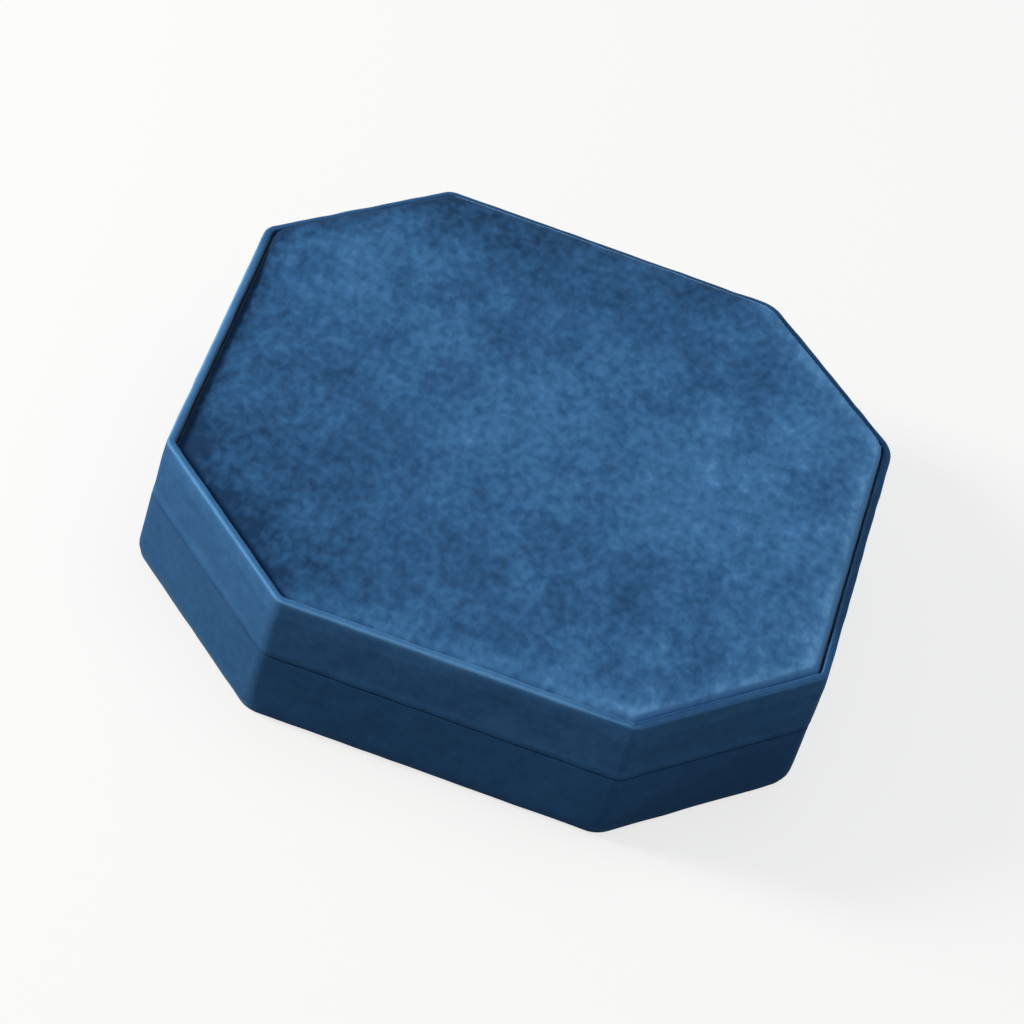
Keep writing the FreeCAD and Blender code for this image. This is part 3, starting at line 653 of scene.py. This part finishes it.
def panel_painted_shading(point):
    total = 0.0
    for depth, width, amount in zip(depths_inside(point), PAINTED_SHADING_WIDTH, PANEL_PAINTED_SHADING):
        total += amount * max(0.0, 1 - depth / (width * MM))
    return total


def seat_panel(piece, inset, high):
    """Sets the pad's edge low or proud of the rim, and lets a proud edge bulge out above it."""
    moved = []
    for vertex in piece.data.vertices:
        point = vertex.co
        share = min(1.0, max(0.0, (point.z - DECK_TOP) / (high - DECK_TOP)))
        depth = min(depths_inside(point)) - inset
        inward = max(0.0, 1 - depth / (45 * MM))
        height = point.z + share * blend_sides(point, EDGE_LIFT) * MM * inward ** 2
        near_edge = max(0.0, 1 - depth / (4 * MM))
        above = min(1.0, max(0.0, (height - LID_TOP) / MM + 0.5))
        outward = Vector((point.x, point.y, 0)).normalized()
        bulge = blend_sides(point, EDGE_BULGE) * MM * near_edge * above * above * (3 - 2 * above)
        moved.append(Vector((point.x, point.y, height)) + outward * bulge)
    set_points(piece, moved)


def make_lid_panel():
    """The padded panel, in velvet over foam."""
    inset = inset_of("lid_panel_velvet") - 0.1 * MM
    high = LID_TOP - 0.9 * MM
    piece = padded_octagon("lid_panel_pad", inset, DECK_TOP, high, 1.2 * MM, 0.8 * MM, 7 * MM, wrap_radius)
    swell(piece, 0.9 * MM, 4.0, 0.4 * MM, DECK_TOP + 1.0 * MM)
    seat_panel(piece, inset, high)
    ruffle(piece, 0.10 * MM, 12 * MM, seed=3)
    ruffle(piece, 0.04 * MM, 2 * MM, seed=4)
    store_painted_shading(piece, panel_painted_shading)
    carry(piece, "lid", ["lid_panel_velvet", "lid_panel_foam"], panel_velvet)


def make_lid_lining():
    inset = inset_of("lid_lining_pad") - 0.1 * MM
    low, high = low_of("lid_lining_pad"), top_of("lid_lining_pad")
    soft = -low - 0.4 * MM
    piece = padded_octagon(
        "lid_lining_cushion", inset, -high, soft, 0.8 * MM, 0.5 * MM, 8 * MM, inner_radius
    )
    swell(piece, 1.2 * MM, 4.0, 0.3 * MM, -high + 0.5 * MM)
    piece.data.transform(Matrix.Diagonal((1, 1, -1, 1)))
    piece.data.flip_normals()
    ruffle(piece, 0.08 * MM, 10 * MM, seed=5)
    carry(piece, "lid", ["lid_lining_pad"], lining_suede)


# ---------------------------------------------------------------- bands inside

def hinge_gap(piece, node):
    """Opens a band at the back, across the hinge leaves; the node it is given is not used."""
    half_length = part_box("hinge_base_leaf")[1].x + END_ROOM
    low = Vector((-half_length, OUTER_HALF - 8 * MM, low_of("hinge_base_leaf") - 0.4 * MM))
    high = Vector((half_length, OUTER_HALF, top_of("hinge_lid_leaf") + 0.4 * MM))
    cut_box(piece, low, high)


def make_band(name, node, body):
    low, high = low_of(node), top_of(node)
    outer = inset_of(node)
    inner = outer + 0.8 * MM
    edge = 0.36 * MM
    corners = [(outer, low, edge), (outer, high, edge), (inner, high, edge), (inner, low, edge)]
    piece = octagon_band(name, corners, inner_radius, flat_steps=30, corner_steps=20, arc_steps=5)
    ruffle(piece, 0.04 * MM, 6 * MM, seed=len(name))
    hinge_gap(piece, node)
    carry(piece, body, [node], tray_velvet)


# ---------------------------------------------------------------- ring tray

ROLLS = sorted(name for name in frame["nodes"] if name.startswith("ring_roll_"))


def window_half():
    """Half the tray's window along X and Y, from the rolls that fill it."""
    low_x, high_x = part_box(ROLLS[0])[0].x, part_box(ROLLS[0])[1].x
    slot = 0.8 * MM
    reach_y = max(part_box(roll)[1].y for roll in ROLLS) + slot
    return (high_x - low_x) / 2 + 0.3 * MM, reach_y


def rectangle_point(half_x, half_y, radius, angle):
    """Where a ray from the centre leaves a rectangle with rounded corners."""
    direction = Vector((math.cos(angle), math.sin(angle), 0))
    reach = min(half_x / max(abs(direction.x), 1e-9), half_y / max(abs(direction.y), 1e-9))
    point = direction * reach
    for _ in range(12):
        over_x = max(abs(point.x) - (half_x - radius), 0)
        over_y = max(abs(point.y) - (half_y - radius), 0)
        over = Vector((over_x, over_y, 0))
        if over_x == 0 or over_y == 0 or over.length <= radius:
            break
        reach -= (over.length - radius) * 0.9
        point = direction * reach
    return point


def make_tray_top():
    """The tray's velvet: a flat top whose window edge rolls down to the floor of the tray."""
    node = "ring_tray_velvet"
    top, low = top_of(node), low_of(node)
    half_x, half_y = window_half()

    def rounding(corner):
        return INNER_RADIUS

    edge = octagon_loop(inset_of(node), rounding, flat_steps=40, corner_steps=26, arc_steps=6)
    angles = [math.atan2(point.y, point.x) for point in edge]
    roll = 1.2 * MM

    def window_ring(margin, height):
        points = [rectangle_point(half_x + margin, half_y + margin, 1.5 * MM, angle) for angle in angles]
        return [point + Vector((0, 0, height)) for point in points]

    rings = [[point + Vector((0, 0, top - SKIN)) for point in edge]]
    rings.append([point * 0.9995 + Vector((0, 0, top)) for point in edge])
    window_edge = window_ring(roll, top)
    for share in (0.15, 0.35, 0.6, 0.85):
        between = [outer.lerp(inner, share) for outer, inner in zip(edge, window_edge)]
        rings.append([point + Vector((0, 0, top - point.z)) for point in between])
    for step in range(7):
        angle = step / 6 * math.pi / 2
        rings.append(window_ring(roll * (1 - math.sin(angle)), top - roll * (1 - math.cos(angle))))
    for share in (0.3, 0.6, 1.0):
        rings.append(window_ring(0, (top - roll) * (1 - share) + low * share))
    rings.append(window_ring(SKIN, low))
    rings.append(window_ring(SKIN, top - roll - SKIN))
    rings.append(window_ring(roll, top - SKIN))
    piece = loft("ring_tray_top", rings, closed=True)
    ruffle(piece, 0.05 * MM, 7 * MM, seed=6)
    carry(piece, "base", [node], tray_velvet)


def make_roll(node, number):
    """A foam roll in velvet: flat below, half-round above, drawn in at both ends."""
    low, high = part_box(node)
    half_width = (high.y - low.y) / 2
    centre_y = (high.y + low.y) / 2
    height = high.z - low.z
    shoulder = height - half_width
    section = []
    for index in range(6):
        section.append((half_width, shoulder * index / 6))
    for index in range(17):
        angle = index / 16 * math.pi
        section.append((half_width * math.cos(angle), shoulder + half_width * math.sin(angle)))
    for index in range(5, -1, -1):
        section.append((-half_width, shoulder * index / 6))
    for index in range(1, 8):
        section.append((-half_width + 2 * half_width * index / 8, 0))
    length = high.x - low.x
    tuck = 2.2 * MM
    stations = [0, 0.15, 0.4, 0.7, 1.0]
    places = [low.x + tuck * share for share in stations]
    steps = 60
    inner = length - 2 * tuck
    places += [low.x + tuck + inner * index / steps for index in range(1, steps)]
    places += [high.x - tuck * share for share in reversed(stations)]
    rings = []
    for x in places:
        from_end = min(x - low.x, high.x - x)
        share = min(1.0, from_end / tuck)
        size = 0.72 + 0.28 * math.sqrt(1 - (1 - share) ** 2)
        wave = noise.noise(Vector((x / (14 * MM), number * 2.3, 0))) * 0.12 * MM
        ring = []
        for across, up in section:
            lift = height / 2 + (up - height / 2) * size
            y = centre_y + across * size * 0.985
            z = low.z + max(lift, 0.02 * MM) + wave * (up / height)
            ring.append(Vector((x, y, z)))
        rings.append(ring)
    piece = loft(f"{node}_cushion", rings, closed=False)
    ruffle(piece, 0.06 * MM, 3 * MM, seed=10 + number)
    carry(piece, "base", [node], tray_velvet)


# ---------------------------------------------------------------- kept CAD nodes

KEPT = {
    "base_shell": moulded, "lid_shell": moulded, "base_bottom_cover": flock_paper,
    "ring_tray_board": grey_card, "lid_panel_board": grey_card, "lid_lining_board": lining_suede,
    "ring_tray_foam": bare_foam,
    "hinge_base_leaf": nickel, "hinge_lid_leaf": nickel, "hinge_pin": nickel,
    "hinge_base_rivets": nickel, "hinge_lid_rivets": nickel,
}


def dress_kept_nodes():
    for node, material in KEPT.items():
        piece = frame["nodes"][node]
        piece.data.materials.clear()
        piece.data.materials.append(material)
        if material is nickel:
            bevel = piece.modifiers.new("soft_edges", "BEVEL")
            bevel.width = 0.08 * MM
            bevel.segments = 2
            bevel.limit_method = "ANGLE"


# ---------------------------------------------------------------- studio

def seen_or_lit(tree, seen, lit):
    """A grey that the camera sees as `seen` and that lights the scene as `lit`."""
    path = tree.nodes.new("ShaderNodeLightPath")
    difference = calculate(tree, "MULTIPLY", path.outputs["Is Camera Ray"], seen - lit)
    return calculate(tree, "ADD", difference, lit)


FLOOR_HALF = 1.3             # metres, from the box to the table's edge
FLOOR_DROP = 0.05 * MM       # keeps the table's face off the underside's


def make_floor():
    """A pale table top that ends before the main light's own plane, beyond which it would be dark."""
    builder = bmesh.new()
    bmesh.ops.create_grid(builder, x_segments=1, y_segments=1, size=FLOOR_HALF)
    floor = new_object("floor", builder)
    floor.location.z = -FLOOR_DROP
    material, tree, shader = new_material("pale_floor")
    tree.links.new(seen_or_lit(tree, 0.22, 0.35), shader.inputs["Base Color"])
    tree.links.new(seen_or_lit(tree, 0.75, 0.0), shader.inputs["Emission Strength"])
    shader.inputs["Emission Color"].default_value = (1, 1, 1, 1)
    shader.inputs["Roughness"].default_value = 0.9
    shader.inputs["Specular IOR Level"].default_value = 0
    floor.data.materials.append(material)


def make_light(name, direction, distance, size, power, colour):
    data = bpy.data.lights.new(name, "AREA")
    data.shape = "DISK"
    data.size = size
    data.energy = power
    data.color = colour
    lamp = bpy.data.objects.new(name, data)
    lamp.location = Vector(direction).normalized() * distance
    lamp.rotation_euler = (-lamp.location).to_track_quat("-Z", "Y").to_euler()
    bpy.context.scene.collection.objects.link(lamp)


def make_world():
    world = bpy.data.worlds.new("studio")
    world.use_nodes = True
    tree = world.node_tree
    background = tree.nodes["Background"]
    tree.links.new(seen_or_lit(tree, 1.04, 0.27), background.inputs["Strength"])
    background.inputs["Color"].default_value = (0.94, 0.975, 1.0, 1)
    bpy.context.scene.world = world
    bpy.context.scene.view_settings.view_transform = "Standard"


def make_camera():
    """In front and above, a long lens, turned so that the box leans to the right."""
    elevation, azimuth, roll = math.radians(41.31), math.radians(1.0), math.radians(18.99)
    aim = Vector((-0.78, -4.3, 15.25)) * MM
    distance = 0.975
    flat = math.cos(elevation)
    back = Vector((math.sin(azimuth) * flat, -math.cos(azimuth) * flat, math.sin(elevation)))
    level_right = (-back).cross(Vector((0, 0, 1))).normalized()
    level_up = level_right.cross(-back)
    right = level_right * math.cos(roll) + level_up * math.sin(roll)
    up = level_up * math.cos(roll) - level_right * math.sin(roll)
    data = bpy.data.cameras.new("camera")
    data.lens = 172.8
    data.sensor_width = 36
    data.clip_start = 0.01
    camera = bpy.data.objects.new("camera", data)
    turn = Matrix((right, up, back)).transposed().to_4x4()
    camera.matrix_world = Matrix.Translation(aim + back * distance) @ turn
    bpy.context.scene.collection.objects.link(camera)
    bpy.context.scene.camera = camera


make_base_wrap()
make_lid_wrap()
make_lid_panel()
make_lid_lining()
make_band("base_collar_band", "base_collar", "base")
make_band("lid_wall_liner_band", "lid_wall_liner", "lid")
make_tray_top()
for roll_number, roll_node in enumerate(ROLLS):
    make_roll(roll_node, roll_number)
dress_kept_nodes()
make_floor()
make_world()
make_light("key", (-0.87, -0.11, 0.48), 1.2, 0.4, 14.5, (1.0, 0.93, 0.84))
make_light("top", (0.1, 0.3, 1.0), 1.5, 1.2, 5, (0.95, 0.98, 1.0))
make_camera()
